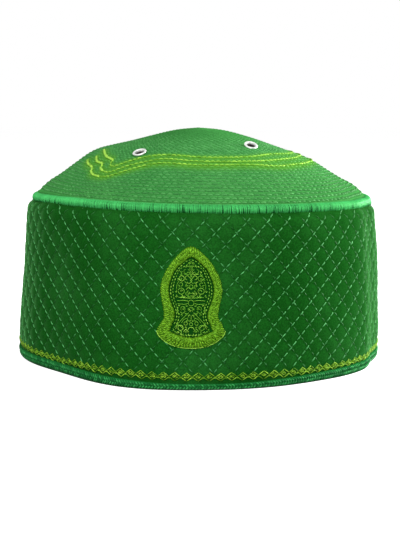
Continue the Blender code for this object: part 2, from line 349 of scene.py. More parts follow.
# %% Model a thread
def spin_thread(around, cuts, pinch):
    """A thread of unit length, standing up, with cuts across it and pinched ends."""
    deselect()
    bpy.ops.mesh.primitive_cylinder_add(
        vertices=around, radius=0.5, depth=1.0, location=(0, 0, 0.5), end_fill_type="TRIFAN"
    )
    thread = bpy.context.object
    bpy.ops.object.transform_apply(location=True, rotation=False, scale=False)
    bpy.ops.object.mode_set(mode="EDIT")
    pick(thread, "edges", lambda edge: abs(edge.verts[0].co.z - edge.verts[1].co.z) > 0.5)
    bpy.ops.mesh.subdivide(number_cuts=cuts)
    bpy.ops.object.mode_set(mode="OBJECT")
    points = corners_of(thread)
    points[:, :2] *= 1 - pinch * np.abs(2 * points[:, 2:3] - 1) ** 4
    loops = read(thread.data.loops, "vertex_index")
    starts = read(thread.data.polygons, "loop_start")
    bpy.data.objects.remove(thread, do_unlink=True)
    print(f"thread: {len(points)} corners, {len(starts)} faces")
    return points, loops, starts


SHORT = spin_thread(5, 2, 0.45)
PLAIN = spin_thread(4, 2, 0.4)
ARCHED = spin_thread(4, 6, 0.15)
LONG = spin_thread(4, 11, 0.1)


# %% Lay a copy of the thread along each path
def sew(name, thread, paths, size, tint, look, nodes=(), up=(0, -1, 0), onto=bend, fluff=None):
    """Lays a thread along each path on the flat cloth, and then takes them all onto the cap.

    paths is (threads, points, 3), size is a thread's width and thickness in mm, tint its tone from 0 to
    1, up the way out of the cloth, and fluff a rule for how lime a place is.
    """
    points, loops, starts = thread
    paths = np.asarray(paths, dtype=float)
    count, knots = paths.shape[:2]
    up = np.broadcast_to(np.asarray(up, dtype=float), paths.shape)
    heading = np.gradient(paths, axis=1)
    place = points[:, 2] * (knots - 1)
    low = np.clip(place.astype(int), 0, knots - 2)
    part = (place - low)[None, :, None]

    def between(rows):
        return rows[:, low] * (1 - part) + rows[:, low + 1] * part

    ahead, rise = between(heading), between(up)
    aside = unit(np.cross(ahead, rise))
    rise = unit(np.cross(aside, ahead))
    wide, tall = (np.broadcast_to(value, (count,))[:, None, None] * MM for value in size)
    laid = between(paths) + aside * points[:, 0][None, :, None] * wide
    laid = (laid + rise * points[:, 1][None, :, None] * tall).reshape(-1, 3)
    mesh = bpy.data.meshes.new(name)
    mesh.vertices.add(len(laid))
    mesh.vertices.foreach_set("co", onto(laid).astype(np.float32).ravel())
    shift = np.arange(count, dtype=np.int32)[:, None]
    mesh.loops.add(count * len(loops))
    mesh.loops.foreach_set("vertex_index", (loops[None] + shift * len(points)).ravel())
    mesh.polygons.add(count * len(starts))
    mesh.polygons.foreach_set("loop_start", (starts[None] + shift * len(loops)).ravel())
    mesh.update(calc_edges=True)
    piece = bpy.data.objects.new(name, mesh)
    bpy.context.scene.collection.objects.link(piece)
    mark(piece, "tint", np.repeat(np.broadcast_to(tint, (count,)), len(points)))
    if fluff:
        mark(piece, "lime_fluff", fluff(laid))
    put_on(piece, look, nodes)


# %% [markdown]
# No two stitches by hand or machine are quite alike. One source of chance, always started from the same
# number, gives each thread its own tone and its own small shift, and gives the same cap every time.

# %% Chance
chance = np.random.default_rng(7)
ALONG = np.linspace(-0.5, 0.5, 4)  # four places along a short thread, counted from its middle


def tones(middle, spread, count, extra=0.0):
    return np.clip(chance.normal(middle, spread, count) + extra, 0, 1)


# %% [markdown]
# ## Cloth and thread
# The band's cloth is a dark green satin. The crown is the same green, but so closely stitched that it
# looks lighter. Threads are smooth and shine a little. A flat colour would look like plastic, so each
# cloth gets a fine weave and a slow drift of tone, painted shade down in its seams and hollows, and each
# thread has a tone of its own.

# %% Node helpers
def new_look(name):
    look = bpy.data.materials.new(name)
    look.use_nodes = True
    return look, look.node_tree, look.node_tree.nodes["Principled BSDF"]


def tune(made, settings):
    """Sets a node's inputs by name. Whatever isn't an input is a property."""
    for key, value in settings.items():
        if key in made.inputs:
            made.inputs[key].default_value = value
        else:
            setattr(made, key, value)
    return made


def node(tree, kind, **settings):
    return tune(tree.nodes.new(kind), settings)


def noise(tree, **settings):
    """Noise that stays with the object."""
    made = node(tree, "ShaderNodeTexNoise", **settings)
    tree.links.new(node(tree, "ShaderNodeTexCoord").outputs["Object"], made.inputs["Vector"])
    return made.outputs["Fac"]


def marked(tree, name):
    """A number that the mesh keeps for each vertex."""
    return node(tree, "ShaderNodeAttribute", attribute_name=name).outputs["Fac"]


def ramp_between(tree, fac, low, high, span=(0.0, 1.0)):
    """Two colours with a smooth change between them."""
    ramp = node(tree, "ShaderNodeValToRGB")
    ramp.color_ramp.interpolation = "EASE"
    for stop, place, colour in zip(ramp.color_ramp.elements, span, (low, high)):
        stop.position = place
        stop.color = (*colour, 1.0)
    tree.links.new(fac, ramp.inputs["Fac"])
    return ramp.outputs["Color"]


def mixed(tree, fac, first, second, blend="MIX"):
    mix = node(tree, "ShaderNodeMix", data_type="RGBA", blend_type=blend)
    for socket, value in ((mix.inputs[0], fac), (mix.inputs[6], first), (mix.inputs[7], second)):
        if isinstance(value, float):
            socket.default_value = value
        elif isinstance(value, tuple):
            socket.default_value = (*value, 1.0)
        else:
            tree.links.new(value, socket)
    return mix.outputs[2]


def dress(tree, shader, tone, relief, strength, deep, settings):
    """The shader's colour, its fine relief and its other settings."""
    tree.links.new(tone, shader.inputs["Base Color"])
    raised = node(tree, "ShaderNodeBump", Strength=strength, Distance=deep)
    tree.links.new(relief, raised.inputs["Height"])
    tree.links.new(raised.outputs["Normal"], shader.inputs["Normal"])
    tune(shader, settings)


# %% Woven cloth
WEAVE = 0.45 * MM


def woven(name, deep, plain, light, sheen, nap):
    """Greens for the painted shade in seams and hollows (and a darker ground), the cloth and its paler
    drifts; strength and tint of the nap.
    """
    look, tree, shader = new_look(name)
    drift = noise(tree, Scale=34.0, Detail=3.0, Roughness=0.6)
    tone = ramp_between(tree, drift, plain, light, (0.35, 0.75))
    speck = noise(tree, Scale=1900.0, Detail=2.0)
    grain = ramp_between(tree, speck, (0.1, 0.1, 0.1), (0.9, 0.9, 0.9), (0.3, 0.7))
    tone = mixed(tree, 0.38, tone, grain, "OVERLAY")
    # Painted shade: the cloth turns to its deepest green where the mesh is marked for shade; on the band
    # the same mark also holds the badge's darker ground.
    tone = mixed(tree, marked(tree, "painted_shade_and_dark_ground"), tone, deep)
    tone = mixed(tree, marked(tree, "lime_fluff"), tone, (0.085, 0.270, 0.015))
    cloth = node(tree, "ShaderNodeUVMap", uv_map="cloth")
    threads = []
    for direction in ("X", "Y"):
        wave = node(
            tree, "ShaderNodeTexWave", bands_direction=direction, Scale=0.314 / WEAVE, Distortion=0.6
        )
        tree.links.new(cloth.outputs["UV"], wave.inputs["Vector"])
        threads.append(wave.outputs["Fac"])
    dress(tree, shader, tone, mixed(tree, 0.5, *threads), 0.25, 0.12 * MM, {
        "Roughness": 0.6, "Specular IOR Level": 0.0,
        "Sheen Weight": sheen, "Sheen Roughness": 0.3, "Sheen Tint": (*nap, 1.0),
    })
    return look


# %% Embroidery thread
def silky(name, deep, bright, shine, rough=0.36):
    """Each thread's own tint picks its tone between deep and bright."""
    look, tree, shader = new_look(name)
    fibre = noise(tree, Scale=1500.0, Detail=2.0)
    tone = ramp_between(tree, marked(tree, "tint"), deep, bright)
    tone = mixed(tree, marked(tree, "lime_fluff"), tone, (0.110, 0.340, 0.020))
    tone = mixed(tree, 0.3, tone, fibre, "OVERLAY")
    dress(tree, shader, tone, fibre, 0.3, 0.08 * MM, {
        "Roughness": rough, "Metallic": shine, "Specular IOR Level": 0.1,
    })
    return look


# %% The finishes of this cap
band_satin = woven(
    "band_satin", (0.003, 0.038, 0.003), (0.0045, 0.060, 0.0052), (0.0092, 0.083, 0.0102),
    0.42, (0.30, 1.0, 0.31),
)
crown_cotton = woven(
    "crown_cotton", (0.012, 0.092, 0.016), (0.039, 0.202, 0.044), (0.053, 0.240, 0.055),
    0.2, (0.23, 1.0, 0.23),
)
tape_weave = woven(
    "tape_weave", (0.002, 0.025, 0.005), (0.006, 0.090, 0.016), (0.010, 0.120, 0.024),
    0.2, (0.08, 1.0, 0.2),
)
quilt_thread = silky("quilt_thread", (0.007, 0.080, 0.010), (0.072, 0.325, 0.096), 0.35, 0.42)
crown_thread = silky("crown_thread", (0.038, 0.195, 0.045), (0.072, 0.290, 0.076), 0.15, 0.5)
welt_thread = silky("welt_thread", (0.013, 0.160, 0.032), (0.060, 0.455, 0.114), 0.12, 0.42)
tape_thread = silky("tape_thread", (0.004, 0.090, 0.018), (0.035, 0.290, 0.070), 0.3)
lime_thread = silky("lime_thread", (0.034, 0.130, 0.003), (0.160, 0.380, 0.016), 0.25)
row_thread = silky("row_thread", (0.060, 0.190, 0.006), (0.260, 0.500, 0.035), 0.3)
pale_lime_thread = silky("pale_lime_thread", (0.100, 0.320, 0.020), (0.360, 0.680, 0.080), 0.3)

# %% [markdown]
# ## The quilted band
# Two cloths with a stiff wadding between them are stitched together along two sets of slanting lines.
# Each diamond puffs up a little, and the cloth dips wherever a line runs. The strip is cut from such a
# sheet and eased to the cap's form, so its rows of diamonds sink towards the sides and open out there.
#
# The sheet starts as a grid whose squares fit the diamonds, so that every line runs exactly through
# vertices. It is eased to the strip's shape, cut off at the foot and at the top, extruded to its
# thickness, puffed up, and then bent round and joined at the back.

# %% Measures of the quilting and of the foot
DIAMONDS = 60
CELLS = 8  # grid squares along one diamond
CELLS_UP = 66
BAND_FOOT = 1.2 * MM
BAND_TOP = 76.9 * MM
BAND_THICK = 2.2 * MM
BADGE_AT = np.array((-3.0 * MM, 18.6 * MM))

# Azimuth and height of the embroidered row above the binding, in mm
ROW_HEIGHTS = np.array((
    (-300, 6.3), (-270, 6.2), (-200, 6.8), (-175, 7), (-160, 7), (-150, 6.6),
    (-140, 6.3), (-128, 6.6), (-112, 6.6), (-98, 6.1), (-80, 5.9), (-60, 5.8),
    (-45, 5.9), (-34, 6.3), (-10, 6.3), (40, 6.3), (90, 6.2), (120, 6.3),
))


def sheet_place(along, height):
    """Where a point of the strip lay on the quilted sheet: across it and up it."""
    near = np.clip(along, -75 * MM, 75 * MM)
    across = near - 7.82 * near**3 + 0.868 * (along - near)
    eased = np.clip((270 * MM - np.abs(along)) / (150 * MM), 0.0, 1.0)
    eased = eased * eased * (3.0 - 2.0 * eased)
    aside = along + 4.5 * MM
    return across - 1.33 * aside * height * eased, height + 0.36 * aside**2 * eased


def strip_place(across, up):
    """The way back to the strip, found by mending a first guess again and again."""
    along, height = across, up
    for _ in range(24):
        there = sheet_place(along, height)
        along, height = along + across - there[0], height + up - there[1]
    return along, height


SHEET = 2 * sheet_place(STRIP / 2, 0.0)[0]
DIAMOND_WIDE = SHEET / DIAMONDS
DIAMOND_TALL = 10.17 * MM
SHEET_UP = DIAMOND_TALL / CELLS * CELLS_UP
print(f"a diamond is {DIAMOND_WIDE / MM:.2f} by {DIAMOND_TALL / MM:.2f} mm")


def diamond_place(across, up):
    """Columns and rows of diamonds: a stitched line runs where their sum or difference is whole."""
    return across / DIAMOND_WIDE - 0.25, up / DIAMOND_TALL - 0.25


def row_height(along):
    """Height of the embroidered row at a place along the strip."""
    return smooth_row(ROW_HEIGHTS, 1, np.degrees(np.interp(along, run, walk))) * MM


def tuck(height):
    """The band slips inside its binding."""
    return np.interp(height / MM, (0.0, 3.6, 8.0, 16.0), (1.2, 1.2, 0.4, 0.0)) * MM


def badge_cover(along, height):
    """1 under the badge, where the embroidery presses the cloth flat, and 0 away from it."""
    x = (along - BADGE_AT[0]) / (15.0 * MM)
    z = (height - BADGE_AT[1] - 22.0 * MM) / (24.0 * MM)
    return np.clip(6.0 * (1.0 - np.hypot(x, z)), 0.0, 1.0)


def inside_badge(along, height):
    """1 on the badge's ground, whose cloth is darker, and 0 outside its border."""
    x = np.abs(along - BADGE_AT[0]) / MM
    z = (height - BADGE_AT[1]) / MM
    half = np.interp(z, (4.0, 8.0, 16.0, 25.0, 34.0, 40.0), (4.0, 9.5, 8.5, 11.0, 8.0, 1.5))
    return np.clip((half + 1.0 - x) * 1.5, 0.0, 1.0) * ((z > 4.0) & (z < 41.0))


def puff(along, height):
    """How far a quilted diamond stands out, from 0 on a stitched line to 1 in its middle."""
    columns, rows = diamond_place(*sheet_place(along, height))
    from_line = [np.abs(turn - np.round(turn)) * 2.0 for turn in (columns - rows, columns + rows)]
    full = [1.0 - (1.0 - near) ** 2.2 for near in from_line]
    return full[0] * full[1]


def cloth_face(along, height):
    """Depth of the band's face, measured into the cap."""
    quilted = np.clip((height - row_height(along) - 2.2 * MM) / (1.5 * MM), 0.0, 1.0)
    quilted *= np.clip((BAND_TOP + 0.5 * MM - height) / (3.0 * MM), 0.0, 1.0)
    quilted *= 1.0 - badge_cover(along, height)
    ripple = np.sin(along * 173.0 + height * 61.0) * np.sin(height * 97.0 - along * 41.0)
    return tuck(height) + (0.16 - 0.42 * puff(along, height)) * quilted * MM + 0.2 * MM * ripple


# %% Cut the strip out of the sheet
def on_falling_line(face):
    """Whether a falling line crosses this grid square. Its diagonal has to fall too."""
    middle = face.calc_center_median()
    column, row = (math.floor(place * CELLS) for place in diamond_place(middle.x, middle.z))
    return (column + row + 1) % CELLS == 0


deselect()
bpy.ops.mesh.primitive_grid_add(x_subdivisions=DIAMONDS * CELLS, y_subdivisions=CELLS_UP, size=1.0)
band = bpy.context.object
band.name = "band_cloth"
band.scale = (SHEET, SHEET_UP, 1.0)
band.rotation_euler = (math.pi / 2, 0.0, 0.0)
band.location = (0.0, 0.0, SHEET_UP / 2)
bpy.ops.object.transform_apply(location=True, rotation=True, scale=True)
bpy.ops.object.mode_set(mode="EDIT")
pick(band, "faces", on_falling_line)
bpy.ops.mesh.quads_convert_to_tris(quad_method="FIXED_ALTERNATE")
bpy.ops.mesh.select_all(action="SELECT")
bpy.ops.mesh.quads_convert_to_tris(quad_method="FIXED")
bpy.ops.object.mode_set(mode="OBJECT")
flat = corners_of(band)
flat[:, 0], flat[:, 2] = strip_place(flat[:, 0], flat[:, 2])
set_corners(band, flat)
bpy.ops.object.mode_set(mode="EDIT")
for height, foot in ((BAND_FOOT, True), (BAND_TOP, False)):
    bpy.ops.mesh.select_all(action="SELECT")
    bpy.ops.mesh.bisect(
        plane_co=(0.0, 0.0, height), plane_no=(0.0, 0.0, 1.0), clear_inner=foot, clear_outer=not foot
    )

# %% Quilt it and join it into a ring
bpy.ops.mesh.select_all(action="SELECT")
bpy.ops.mesh.extrude_region_move(TRANSFORM_OT_translate={"value": (0.0, BAND_THICK, 0.0)})
bpy.ops.mesh.select_all(action="SELECT")
bpy.ops.mesh.normals_make_consistent(inside=False)
pick(band, "faces", lambda face: abs(abs(face.calc_center_median().x) - STRIP / 2) < 0.01 * MM)
bpy.ops.mesh.delete(type="ONLY_FACE")
bpy.ops.object.mode_set(mode="OBJECT")
flat = corners_of(band)
along, depth, height = flat.T
inner = depth > BAND_THICK / 2
puffed = puff(along, height)
mark_cloth(band, along, height)
# Painted shade: the cloth is darkened where it dips to a quilting line. The badge's ground is a darker
# cloth of its own.
painted_seam_shade = np.clip(1.0 - puffed * 1.8, 0.0, 1.0) * 0.36
mark(band, "painted_shade_and_dark_ground", np.maximum(painted_seam_shade, 0.85 * inside_badge(along, height)))
flat[:, 1] = np.where(inner, tuck(height) + BAND_THICK + 0.15 * MM * puffed, cloth_face(along, height))
set_corners(band, bend(flat))
bpy.ops.object.mode_set(mode="EDIT")
weld(0.02 * MM)
put_on(band, band_satin, ["band"])

# %% [markdown]
# ## The quilting stitches
# The sewing machine leaves a dash of light green thread, then a short gap, again and again along each
# line. About two dashes fit on one side of a diamond. A texture could draw them, but a real thread
# catches the light along its top, so each dash is a small copy of the thread. The two sets of lines
# aren't alike: on the left half the falling ones lie a little proud and get a painted highlight, and the
# rising ones sit a little lower without it; on the right it is the other way. Near the right end of the
# cap they all sit lower and their painted highlight is dimmed.

# %% Quilting lines
DASHES = 3.15 * MM
DASH_LONG = 2.35 * MM


def proud_and_painted_highlight(slant, along):
    """How far a line lies proud and how much painted highlight it gets, from 0 to 1: falling lines on the
    left half, rising ones on the right, less near the right end.
    """
    raised_and_highlit = 0.5 + 0.5 * np.tanh(slant * np.sin(2 * math.pi * along / STRIP) * 2.4)
    return raised_and_highlit * (1.0 - 0.55 * hump(along - 100 * MM, 32 * MM))


def quilting(slant):
    """Paths of the dashes on every line that slants one way: 1 rises to the right, -1 falls."""
    wide = SHEET_UP * DIAMOND_WIDE / DIAMOND_TALL
    length = math.hypot(wide, SHEET_UP)
    ahead_x, ahead_z = slant * wide / length, SHEET_UP / length
    dashes = int(length / DASHES) + 1
    line, dash = np.meshgrid(np.arange(DIAMONDS), np.arange(dashes), indexing="ij")
    slip = chance.uniform(0.0, 1.0, DIAMONDS)[line]
    reach = (dash + slip) * DASHES + chance.normal(0.0, 0.12 * MM, line.shape)
    across = (line + 0.25 * (1 - slant)) * DIAMOND_WIDE + reach * ahead_x
    across = ((across + SHEET / 2) % SHEET - SHEET / 2).ravel()
    up = (reach * ahead_z).ravel()
    x, z = strip_place(across, up)
    keep = (z > row_height(x) + 2.4 * MM) & (z < BAND_TOP - 0.6 * MM)
    keep &= badge_cover(x, z) < 0.55
    across, up = across[keep], up[keep]
    step = ALONG * DASH_LONG
    skew = chance.normal(0.0, 0.05, len(across))[:, None]
    px, pz = strip_place(
        across[:, None] + step * (ahead_x + skew * ahead_z), up[:, None] + step * ahead_z
    )
    standing = proud_and_painted_highlight(slant, px[:, :1])
    py = cloth_face(px, pz) - (np.array((-0.05, 0.10, 0.10, -0.05)) + 0.09 * (standing - 0.5)) * MM
    return np.stack([px, py, pz], -1)


for slant, name in ((1, "quilting_rising"), (-1, "quilting_falling")):
    paths = quilting(slant)
    # Painted highlight: the lines that stand out get a lighter tone.
    tone = tones(0.14, 0.13, len(paths), 0.62 * proud_and_painted_highlight(slant, paths[:, 0, 0]))
    sew(name, SHORT, paths, (0.62, 0.42), tone, quilt_thread)

# %% [markdown]
# ## The back seam
# The strip's two ends meet at the back. A real one is closed with plain small stitches across the joint,
# one above the other, in thread of the cloth's own green.

# %% Close the strip at the back
seam_rise = np.arange(9.5 * MM, 74.5 * MM, 1.9 * MM)[:, None]
x = STRIP / 2 + ALONG * 2.4 * MM + 0 * seam_rise
z = seam_rise + ALONG * 0.8 * MM + chance.normal(0.0, 0.1 * MM, seam_rise.shape)
y = cloth_face(x, z) - np.array((-0.1, 0.25, 0.25, -0.1)) * MM
paths = np.stack([x, y, z], -1)
sew("back_seam_stitches", SHORT, paths, (0.6, 0.45), tones(0.1, 0.1, len(x)), quilt_thread)

# %% [markdown]
# ## Lime lines on the crown
# Three lines of running stitch go round the crown together. At the left they turn a corner, spread apart
# and wave, and there they end. They are worked out before the crown's cloth, because their fluff tints the
# cloth beside them. The tables give points of each line, by azimuth and by share of the way out. The
# hidden back is finished as the mirror image of the front.

# %% Lines by azimuth and share
INNER = (
    (0, 0.572), (-20, 0.590), (-46, 0.607), (-58, 0.635), (-70, 0.652), (-89, 0.655),
    (-98, 0.640), (-106, 0.634), (-113, 0.645), (-120, 0.676), (-127, 0.715),
    (-133.5, 0.750), (-137.5, 0.737), (-138.5, 0.708), (-146, 0.690), (-151.5, 0.667),
    (-160.5, 0.627),
)
MIDDLE = (
    (0, 0.620), (-13.5, 0.630), (-43.5, 0.673), (-61.5, 0.693), (-89, 0.697), (-103, 0.681),
    (-109, 0.684), (-115, 0.708), (-121, 0.730), (-127, 0.757), (-133, 0.792),
    (-138, 0.788), (-142, 0.768), (-143.5, 0.742), (-149, 0.735), (-152.5, 0.718),
    (-155.5, 0.700),
)
OUTER = (
    (0, 0.690), (-15, 0.700), (-40, 0.724), (-52, 0.736), (-67, 0.724), (-89, 0.730),
    (-103, 0.717), (-110, 0.722), (-116, 0.745), (-122, 0.772), (-127, 0.800),
    (-132, 0.827), (-138, 0.830), (-142.5, 0.822), (-146, 0.803), (-148.5, 0.777),
    (-155, 0.760), (-160, 0.737),
)


def crown_line(table):
    """A whole line as flat disc points, how far along each one is, and its azimuth."""
    front = np.array(table)
    back = front[:0:-1] * np.array((-1.0, 1.0))
    knots = np.concatenate([back, front])
    azimuth, share = smooth_line(knots, np.arange(0.0, len(knots) - 1, 0.02)).T
    azimuth = np.radians(azimuth)
    line = np.stack([share * np.cos(azimuth), share * np.sin(azimuth)], -1) * DISC
    return line, gone_along(line), azimuth


LIME_LINES = [crown_line(table) for table in (INNER, MIDDLE, OUTER)]


def lime_fluff(points):
    """Highest right beside a lime line, and 0 away from it."""
    azimuth = np.arctan2(points[:, 1], points[:, 0])
    reach = np.hypot(points[:, 0], points[:, 1])
    nearest = np.full(len(points), np.inf)
    for line, _, turn in LIME_LINES:
        there = np.interp(azimuth, turn[::-1], np.hypot(line[::-1, 0], line[::-1, 1]))
        beyond = np.maximum(np.abs(azimuth) - np.abs(turn).max(), 0.0) * reach
        nearest = np.minimum(nearest, np.hypot(reach - there, beyond))
    return 0.72 * hump(nearest, 2.6 * MM)


# %% [markdown]
# ## The crown
# The crown is cloth run over with ring after ring of stitches, from the middle out to the welt. The
# stitches pull narrow furrows in it. A profile that goes out along the top, round the edge and back
# underneath is spun round the middle, which gives the furrows and a closed cloth in one go. Four round
# cutters then punch the holes for the eyelets, while the disc is still flat.

# %% Spin the crown's cloth as a flat disc
RINGS = 46
CROWN_THICK = 2.0 * MM
CROWN_HEM = 1.012 * DISC  # the cloth goes on to here, under the welt
# The crown's middle has deeper furrows and sunk stitches, and painted shade darkens its cloth and stitches
# there.
MIDDLE_SHARE = 0.32  # how far out the crown's tighter middle reaches


def furrow(share):
    return 0.5 + 0.5 * np.cos(2 * math.pi * share * RINGS)


out = np.linspace(0.0, 1.0, RINGS * 4 + 1)
depth = -0.26 * MM * furrow(out) * (1.0 + 1.3 * hump(out, MIDDLE_SHARE))
top = np.stack([out * DISC, depth], -1)
hem = np.array(((CROWN_HEM, -0.3 * MM), (CROWN_HEM, -CROWN_THICK)))
under = np.stack([out[::-8] * DISC, 0 * out[::-8] - CROWN_THICK], -1)
crown = spun("crown_cloth", np.concatenate([top, hem, under]), 288, 0.002 * MM)

# %% Punch the holes
# Name, azimuth, share of the way out, and how far the eyelet tips towards the outside, in degrees
EYELETS = (
    ("eyelet_front_left", -124.5, 0.625, 8.0), ("eyelet_front_right", -50.0, 0.475, 16.0),
    ("eyelet_back_left", 124.5, 0.625, 8.0), ("eyelet_back_right", 50.0, 0.475, 16.0),
)
punched = np.array([
    (math.cos(math.radians(azimuth)) * share * DISC, math.sin(math.radians(azimuth)) * share * DISC)
    for _, azimuth, share, _ in EYELETS
])
for x, y in punched:
    deselect()
    bpy.ops.mesh.primitive_cylinder_add(vertices=32, radius=2.25 * MM, depth=8 * MM, location=(x, y, 0))
    punch = bpy.context.object
    cut = crown.modifiers.new("punch", "BOOLEAN")
    cut.object = punch
    cut.operation = "DIFFERENCE"
    bpy.context.view_layer.objects.active = crown
    bpy.ops.object.modifier_apply(modifier="punch")
    bpy.data.objects.remove(punch, do_unlink=True)
flat = corners_of(crown)
share = np.hypot(flat[:, 0], flat[:, 1]) / DISC
mark_cloth(crown, flat[:, 0], flat[:, 1])
# Painted shade: the cloth darkens down in each furrow, and more over the middle of the crown.
crown_painted_shade = 0.45 * hump(share, MIDDLE_SHARE) * (0.4 + furrow(share))
mark(crown, "painted_shade_and_dark_ground", np.minimum(furrow(share) * 0.55 + crown_painted_shade, 1.0))
mark(crown, "lime_fluff", lime_fluff(flat))
set_corners(crown, drape(flat))
put_on(crown, crown_cotton, ["crown"])

# %% Stitch the rings
CROWN_STITCH = 3.2 * MM
paths = []
for ring in range(1, RINGS):
    radius = ring / RINGS * DISC
    stitches = max(5, int(2 * math.pi * radius / CROWN_STITCH))
    middle = (np.arange(stitches) + 0.5 * (ring % 2)) * 2 * math.pi / stitches
    middle = middle + chance.normal(0.0, 0.05, stitches) * CROWN_STITCH / radius
    turn = middle[:, None] + ALONG * 2.6 * MM / radius
    reach = radius + chance.normal(0.0, 0.08 * MM, stitches)[:, None] + 0 * turn
    sink = 0.85 * hump(ring / RINGS, MIDDLE_SHARE)
    lift = (np.array((-0.34, 0.0, 0.0, -0.34)) - sink) * MM + 0 * turn
    paths.append(np.stack([reach * np.cos(turn), reach * np.sin(turn), lift], -1))
paths = np.concatenate(paths)
from_holes = np.linalg.norm(paths[:, None, :, :2] - punched[None, :, None], axis=-1).min(axis=(1, 2))
paths = paths[from_holes > 3.1 * MM]
# Painted shade: the stitches are darker over the middle of the crown.
stitch_painted_shade = hump(np.hypot(paths[:, 0, 0], paths[:, 0, 1]) / DISC, MIDDLE_SHARE)
tone = tones(0.5, 0.25, len(paths), -0.5 * stitch_painted_shade)
sew(
    "crown_stitches", PLAIN, paths, (0.95, 0.55), tone, crown_thread,
    up=(0, 0, 1), onto=drape, fluff=lime_fluff,
)

# %% Sew the lime lines
paths, widths, shades = [], [], []
for line, gone, azimuth in LIME_LINES:
    stitches = int(gone[-1] / (2.6 * MM))
    for stitch in range(stitches):
        middle = (stitch + 0.5) * gone[-1] / stitches
        turn = np.degrees(np.interp(middle, gone, azimuth)) % 360.0
        waving = 140.0 < turn < 222.0
        span = middle + ALONG * (3.0 if waving else 2.5) * MM
        x, y = (np.interp(span, gone, line[:, side]) for side in (0, 1))
        paths.append(np.stack([x, y, np.array((0.0, 0.36, 0.36, 0.0)) * MM], -1))
        widths.append(1.4 if waving else 0.75)
        shades.append(0.85 if waving else 0.52)
tone = tones(0.0, 0.15, len(paths), np.array(shades))
sew(
    "crown_lime_lines", SHORT, paths, (widths, 0.55), tone, pale_lime_thread,
    up=(0, 0, 1), onto=drape,
)

# %% [markdown]
# ## The welt
# Band and crown meet under a padded seam that is covered with satin stitch: about a thousand threads,
# side by side, each wrapped over the padding from the crown's side down to the band. The padding is a
# plain ring that only shows between threads, so it is given painted shade all over. The threads are
# copies of one long thread. They vary a little in slant, thickness and tone, as machine stitching on a
# thick seam does.

# %% Padding of the welt
WELT_WIDE = 4.4 * MM
WELT_TALL = 4.8 * MM
ROUND = STRIP / (2 * math.pi)


def unroll(points):
    """A ring round the origin, laid out along the strip."""
    turn = np.arctan2(points[:, 0], -points[:, 1])
    return np.stack([turn * ROUND, ROUND - np.hypot(points[:, 0], points[:, 1]), points[:, 2]], -1)


deselect()
bpy.ops.mesh.primitive_torus_add(
    major_radius=1.0, minor_radius=0.5, major_segments=216, minor_segments=14,
)
padding = bpy.context.object
padding.name = "welt_padding"
ring = corners_of(padding)
reach = np.hypot(ring[:, 0], ring[:, 1])
squeeze = (ROUND - WELT_WIDE / 2 + (reach - 1.0) * (WELT_WIDE - 0.7 * MM)) / reach
ring[:, :2] *= squeeze[:, None]
ring[:, 2] = ring[:, 2] * (WELT_TALL - 0.7 * MM) + RIM_HEIGHT
laid_out = unroll(ring)
mark_cloth(padding, laid_out[:, 0], laid_out[:, 2])
# Painted shade: the padding is darkened all over, since it shows only down between the threads.
mark(padding, "painted_shade_and_dark_ground", np.full(len(ring), 0.8))
set_corners(padding, bend_to_rim(laid_out))
put_on(padding, tape_weave, ["welt"])

# %% Satin threads of the welt
threads = int(STRIP / (0.5 * MM))
at = (np.arange(threads) / threads - 0.5) * STRIP + chance.normal(0.0, 0.05 * MM, threads)
from_deg = 168.0 + chance.normal(0.0, 4.0, threads)
to_deg = -66.0 + chance.normal(0.0, 15.0, threads)
sweep = np.linspace(0.0, 1.0, 9)
turn = np.radians(from_deg[:, None] + (to_deg - from_deg)[:, None] * sweep)
drift = np.convolve(chance.normal(0.0, 1.0, threads + 8), np.ones(9) / 3.0, mode="valid")
low = 0.05 * chance.normal(0.0, 1.0, threads) + 0.04 * drift - 0.15 * (chance.random(threads) < 0.06)
low = np.clip(low, -0.35, 0.12)[:, None] * MM * 2.0 * sweep**1.5
slant = (0.35 * MM + chance.normal(0.0, 0.12 * MM, threads))[:, None] * (sweep - 0.5)
splay = chance.normal(0.0, 0.42 * MM, threads)[:, None] * np.clip(sweep - 0.5, 0.0, 1.0)
x = at[:, None] + slant + splay
y = WELT_WIDE / 2 - np.cos(turn) * (WELT_WIDE / 2 - 0.22 * MM + low)
z = RIM_HEIGHT + np.sin(turn) * (WELT_TALL / 2 - 0.22 * MM + low)
up = np.stack([0 * x, -np.cos(turn), np.sin(turn)], -1)
paths, tone = np.stack([x, y, z], -1), tones(0.72, 0.09, threads, 0.05 * drift)
sew(
    "welt_threads", ARCHED, paths, (0.47, 0.46), tone, welt_thread,
    up=up, onto=bend_to_rim,
)

# %% [markdown]
# ## The binding
# A narrow knitted tape is folded over the raw foot of the band. Its section is a U with a flat bottom,
# because the cap stands on it. The profile is spun into a ring and then bent to the cap's oval. The
# knitted face shows two rows of slanting loops that meet in a chevron.

# %% Spin the tape
TAPE = 0.9 * MM
TAPE_TALL = 3.3 * MM

# Azimuth and how tall the tape's outer face is there, in mm
TAPE_HEIGHTS = np.array((
    (-300, 3.8), (-200, 4.3), (-160, 4.9), (-140, 4.8), (-125, 4.4), (-110, 3.7),
    (-98, 3), (-80, 2.9), (-65, 3.4), (-50, 4.1), (-30, 4.7), (0, 4.6), (120, 3.8),
))


def tape_stretch(along):
    """How much taller than its plain height the tape is at a place along the strip."""
    return smooth_row(TAPE_HEIGHTS, 1, np.degrees(np.interp(along, run, walk))) * MM / TAPE_TALL


